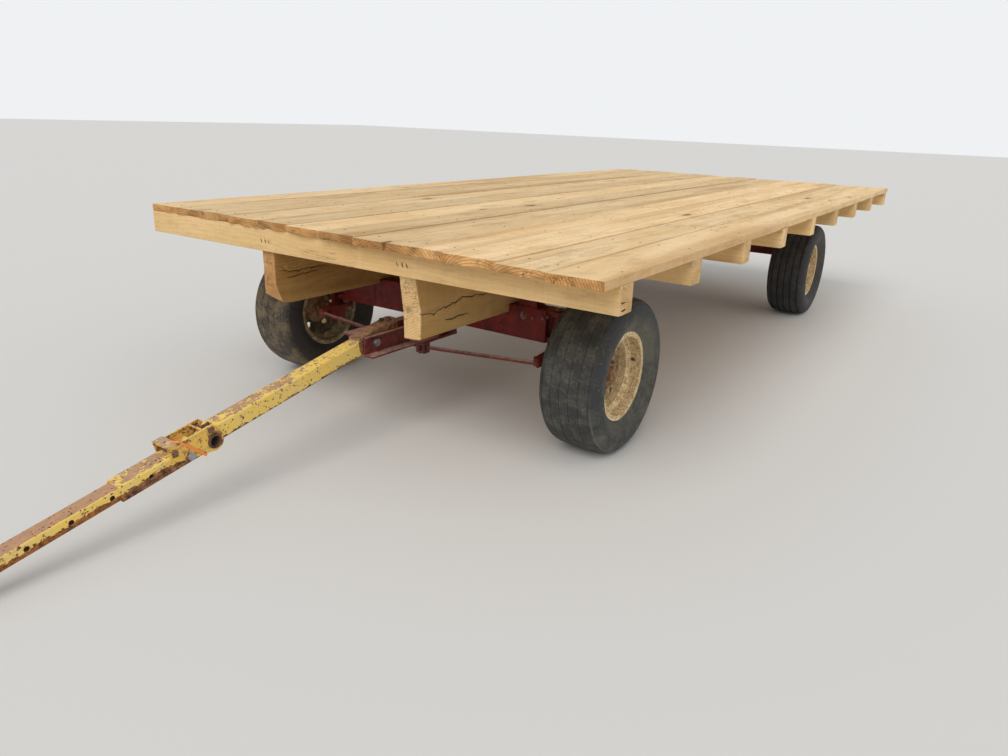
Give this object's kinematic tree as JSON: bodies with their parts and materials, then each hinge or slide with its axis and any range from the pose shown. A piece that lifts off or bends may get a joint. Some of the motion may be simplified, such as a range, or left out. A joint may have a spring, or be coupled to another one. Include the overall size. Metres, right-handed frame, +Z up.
{
  "type": "four-wheel hay wagon",
  "caption": "Four-wheel hay wagon with a plank deck on cross joists and heavy sills, a red steerable running gear and a yellow telescoping tongue resting on the ground.",
  "frame": {"origin": "middle of the footprint on the ground", "axes": "+X forward towards the hitch, +Y to the wagon's left, +Z up"},
  "size_m": [6.7128, 2.44, 0.92],
  "materials": {
    "deck_timber": "rough sawn",
    "sill_timber": "rough sawn, cracked",
    "red_paint": "old paint, worn and dusty",
    "yellow_paint": "chipped over rust",
    "rusty_steel": "rusted",
    "rim_paint": "rusty and dusty",
    "tyre_rubber": "worn and dusty"
  },
  "bodies": {
    "wagon": {"deck_boards": "deck_timber", "cross_joists": "deck_timber", "sill_left": "sill_timber", "sill_right": "sill_timber", "front_axle_beam": "red_paint", "rear_axle_beam": "red_paint", "front_stake_left": "red_paint", "front_stake_right": "red_paint", "rear_stake_left": "red_paint", "rear_stake_right": "red_paint", "reach_front": "red_paint", "reach_rear": "red_paint", "reach_brace_left": "red_paint", "reach_brace_right": "red_paint", "steering_post": "red_paint", "rear_spindle_left": "red_paint", "rear_spindle_right": "red_paint"},
    "steer_knuckle_left": {"knuckle_left": "red_paint", "kingpin_left": "rusty_steel"},
    "steer_knuckle_right": {"knuckle_right": "red_paint", "kingpin_right": "rusty_steel"},
    "carrier": {"carrier_cheek_left": "red_paint", "carrier_cheek_right": "red_paint", "swivel_plate": "red_paint", "pivot_bolt": "rusty_steel"},
    "tie_left": {"tie_rod_left": "red_paint"},
    "tie_right": {"tie_rod_right": "red_paint"},
    "tongue_rear": {"tongue_tube_rear": "yellow_paint", "tongue_tail_strap": "rusty_steel"},
    "tongue_front": {"hinge_plates": "yellow_paint", "hinge_pipe": "rusty_steel", "hinge_crosspiece": "yellow_paint", "hinge_bolts": "rusty_steel", "tongue_sleeve": "yellow_paint"},
    "tongue_slider": {"tongue_tube_inner": "yellow_paint", "hitch_clevis": "yellow_paint"},
    "wheel_front_left": {"tyre_front_left": "tyre_rubber", "rim_front_left": "rim_paint", "hub_front_left": "rim_paint"},
    "wheel_front_right": {"tyre_front_right": "tyre_rubber", "rim_front_right": "rim_paint", "hub_front_right": "rim_paint"},
    "wheel_rear_left": {"tyre_rear_left": "tyre_rubber", "rim_rear_left": "rim_paint", "hub_rear_left": "rim_paint"},
    "wheel_rear_right": {"tyre_rear_right": "tyre_rubber", "rim_rear_right": "rim_paint", "hub_rear_right": "rim_paint"}
  },
  "joints": [
    {"name": "tongue_steer", "type": "hinge", "parent": "wagon", "child": "carrier", "pos_m": [0.95456, -0.052, 0.371], "axis": [0, 0, 1], "range_deg": [-35, 35]},
    {"name": "knuckle_left_steer", "type": "hinge", "parent": "wagon", "child": "steer_knuckle_left", "pos_m": [0.95456, 0.603, 0.341], "axis": [0, 0, 1], "range_deg": [-35, 35]},
    {"name": "knuckle_right_steer", "type": "hinge", "parent": "wagon", "child": "steer_knuckle_right", "pos_m": [0.95456, -0.707, 0.341], "axis": [0, 0, 1], "range_deg": [-35, 35]},
    {"name": "tie_rod_left_swing", "type": "hinge", "parent": "carrier", "child": "tie_left", "pos_m": [1.12456, -0.052, 0.32], "axis": [0, 0, 1], "range_deg": [-35, 35]},
    {"name": "tie_rod_right_swing", "type": "hinge", "parent": "carrier", "child": "tie_right", "pos_m": [1.12456, -0.052, 0.32], "axis": [0, 0, 1], "range_deg": [-35, 35]},
    {"name": "tongue_lift", "type": "hinge", "parent": "carrier", "child": "tongue_rear", "pos_m": [1.47256, -0.052, 0.428], "axis": [0, -1, 0], "range_deg": [0, 25]},
    {"name": "tongue_fold", "type": "hinge", "parent": "tongue_rear", "child": "tongue_front", "pos_m": [2.29614, -0.052, 0.2475], "axis": [0, -1, 0], "range_deg": [0, 60]},
    {"name": "tongue_telescope", "type": "slide", "parent": "tongue_front", "child": "tongue_slider", "axis": [0.9805, 0, -0.1967], "range_m": [-0.136, 0]},
    {"name": "wheel_front_left_turn", "type": "hinge", "parent": "steer_knuckle_left", "child": "wheel_front_left", "pos_m": [0.95456, 0.828, 0.341], "axis": [0, 1, 0], "continuous": true},
    {"name": "wheel_front_right_turn", "type": "hinge", "parent": "steer_knuckle_right", "child": "wheel_front_right", "pos_m": [0.95456, -0.932, 0.341], "axis": [0, 1, 0], "continuous": true},
    {"name": "wheel_rear_left_turn", "type": "hinge", "parent": "wagon", "child": "wheel_rear_left", "pos_m": [-2.32544, 0.828, 0.341], "axis": [0, 1, 0], "continuous": true},
    {"name": "wheel_rear_right_turn", "type": "hinge", "parent": "wagon", "child": "wheel_rear_right", "pos_m": [-2.32544, -0.932, 0.341], "axis": [0, 1, 0], "continuous": true}
  ],
  "couplings": [
    {"joint": "knuckle_left_steer", "follows": "tongue_steer", "ratio": 1},
    {"joint": "knuckle_right_steer", "follows": "tongue_steer", "ratio": 1},
    {"joint": "tie_rod_left_swing", "follows": "tongue_steer", "ratio": -1},
    {"joint": "tie_rod_right_swing", "follows": "tongue_steer", "ratio": -1}
  ]
}
